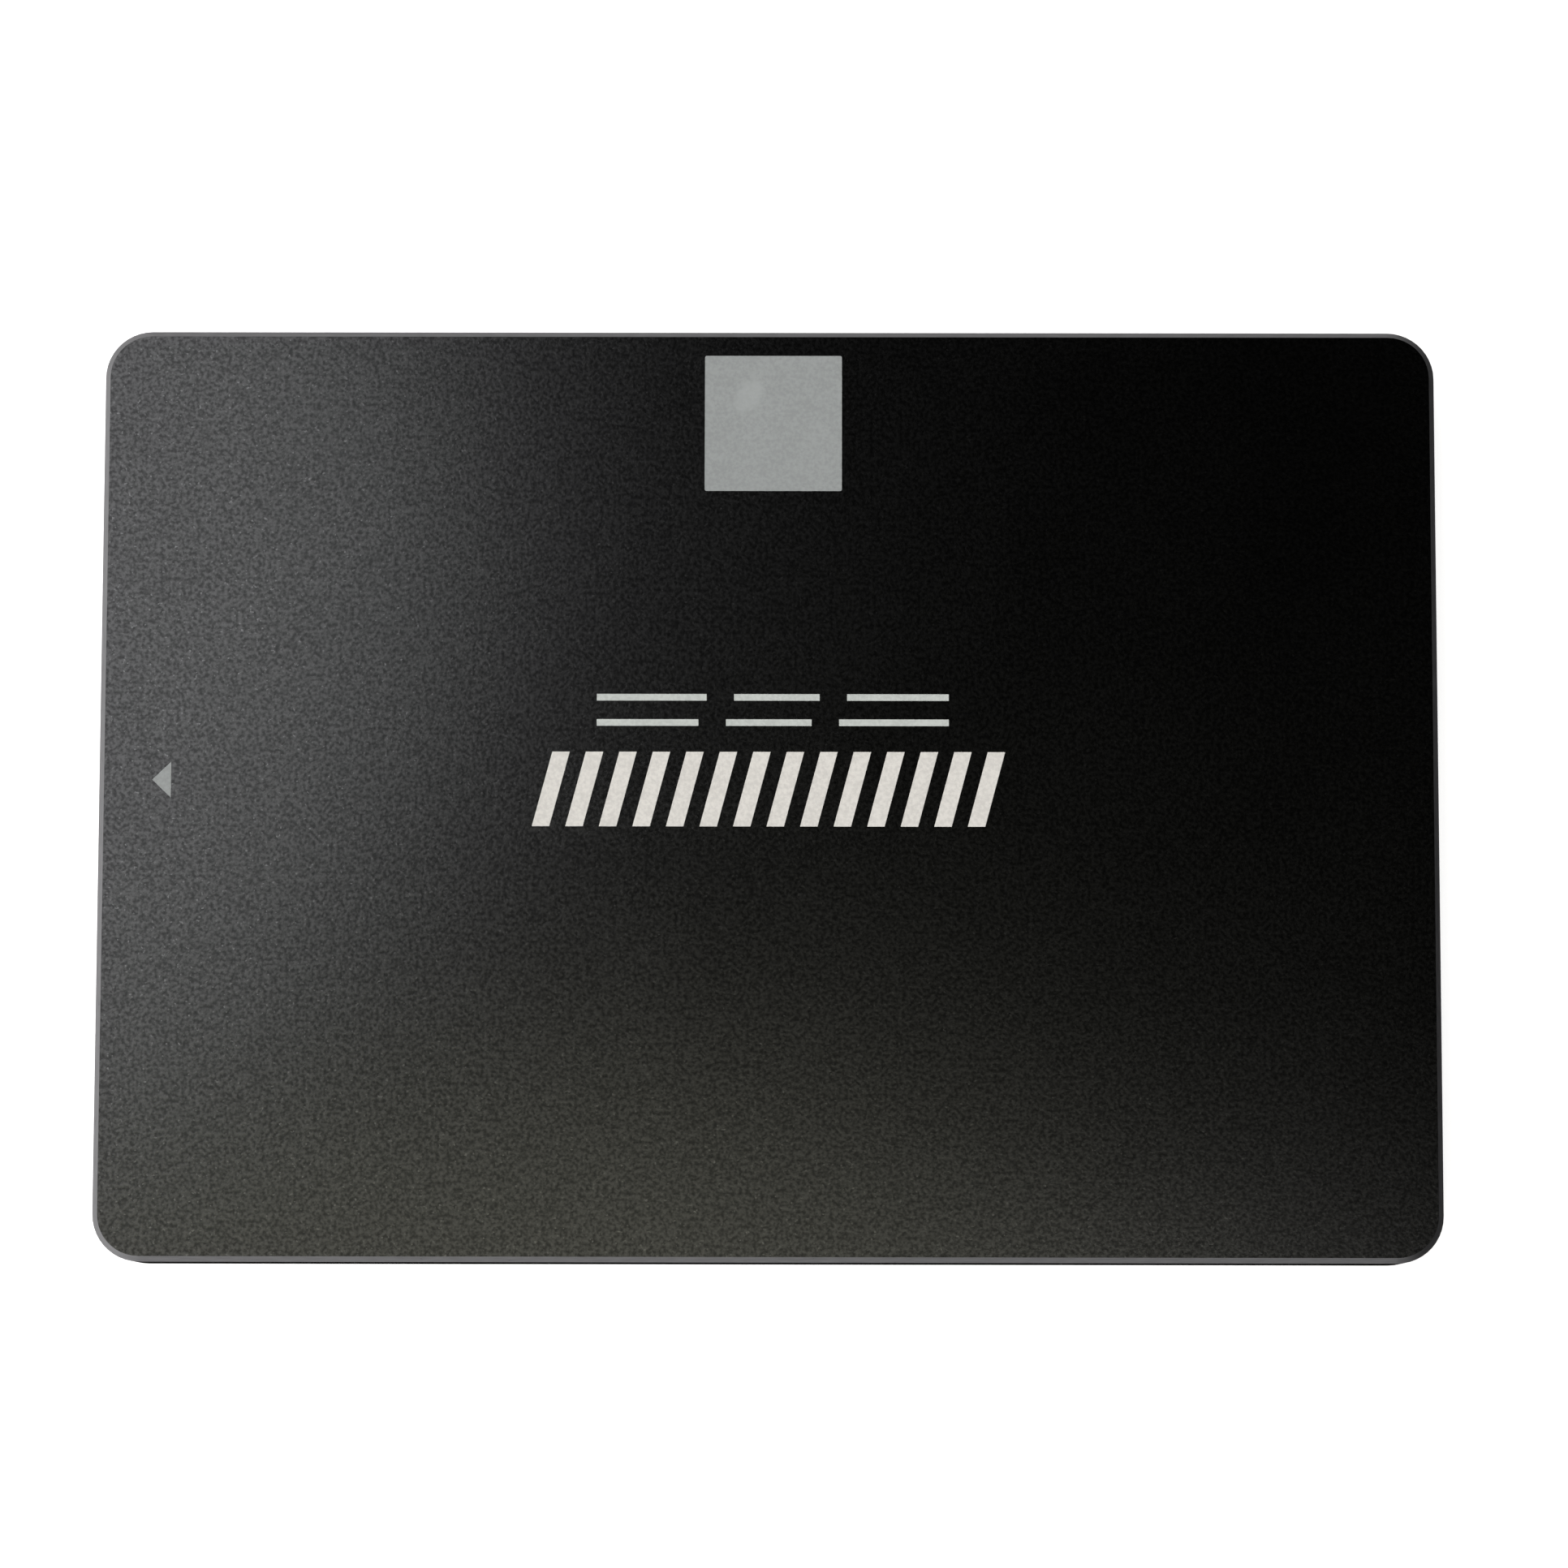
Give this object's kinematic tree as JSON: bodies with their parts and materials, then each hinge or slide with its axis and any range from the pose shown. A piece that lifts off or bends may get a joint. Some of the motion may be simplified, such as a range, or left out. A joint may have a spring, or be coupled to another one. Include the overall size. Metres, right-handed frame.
{
  "type": "solid state drive",
  "caption": "Slim 2.5-inch solid state drive: flat black metal case with a bright chamfered edge, plain printed marks, edge connector, circuit board and screws",
  "frame": {"origin": "centre of the underside's rectangle, on the plane that the drive rests on", "axes": "+Z out of the printed face, -X out of the connector end, +Y towards the long side that carries the printed square"},
  "size_m": [0.1, 0.0698, 0.0068],
  "materials": {
    "anodised_black": "bead-blasted and anodised black, satin; the chamfer round the face is cut bright afterwards",
    "plate_black": "stamped sheet, anodised black, finely grained",
    "print_white": "pad-printed white ink, satin",
    "print_grey": "pad-printed light grey ink, satin",
    "screw_black": "black-zinc steel with a six-lobed drive",
    "screw_bright": "nickel-plated steel",
    "label_film": "silver-grey polyester label, satin",
    "label_ink": "thermal-printed dark ink",
    "board_mask": "green-black solder mask over glass-filled epoxy",
    "connector_black": "moulded glass-filled polymer, fine moulding grain",
    "contact_gold": "gold-plated copper alloy",
    "tinned_metal": "matt tin plate",
    "package_black": "moulded epoxy package",
    "capacitor_ceramic": "fired ceramic with tinned ends",
    "capacitor_polymer": "moulded resin with a printed polarity band",
    "coil_body": "pressed iron powder",
    "thermal_pad": "soft filled silicone pad"
  },
  "bodies": {
    "root": {"case_shell": "anodised_black", "base_plate": "plate_black", "case_screws": "screw_black", "rear_label": "label_film", "label_blocks": "label_ink", "face_square": "print_grey", "face_triangle": "print_grey", "face_bars": "print_white", "face_dashes": "print_grey", "signal_contacts": "contact_gold", "power_contacts": "contact_gold", "board_locks": "tinned_metal", "connector_housing": "connector_black", "circuit_board": "board_mask", "board_screws": "screw_bright", "flash_chips_upper": "package_black", "flash_chips_lower": "package_black", "controller_chip": "package_black", "memory_chip": "package_black", "power_manager_chip": "package_black", "controller_pad": "thermal_pad", "flash_pads_upper": "thermal_pad", "flash_pads_lower": "thermal_pad", "ceramic_capacitors": "capacitor_ceramic", "chip_resistors": "package_black", "crystal": "tinned_metal", "power_inductors": "coil_body", "polymer_capacitors": "capacitor_polymer"}
  },
  "joints": []
}
